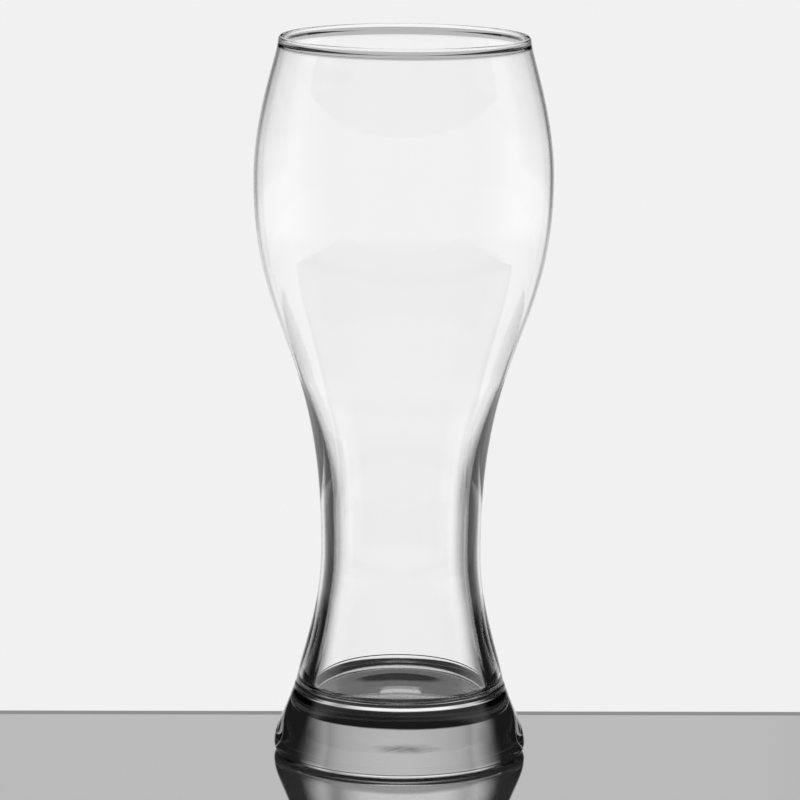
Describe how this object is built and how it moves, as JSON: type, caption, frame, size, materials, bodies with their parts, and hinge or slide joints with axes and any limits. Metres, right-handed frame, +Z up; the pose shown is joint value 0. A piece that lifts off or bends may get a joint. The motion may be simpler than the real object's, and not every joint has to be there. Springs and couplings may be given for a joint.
{
  "type": "pilsner glass",
  "caption": "Tall clear beer glass with a round bulb, a narrow waist, a thick solid base and a flared foot.",
  "frame": {"origin": "centre of the plane that the foot rests on", "axes": "+Z up along the glass's axis of revolution, from the foot to the rim; +X and +Y lie in the table's plane"},
  "size_m": [0.0898, 0.0898, 0.218],
  "materials": {
    "glass": "clear, smooth, fire-polished soda-lime glass"
  },
  "bodies": {
    "root": {"glass": "glass"}
  },
  "joints": []
}
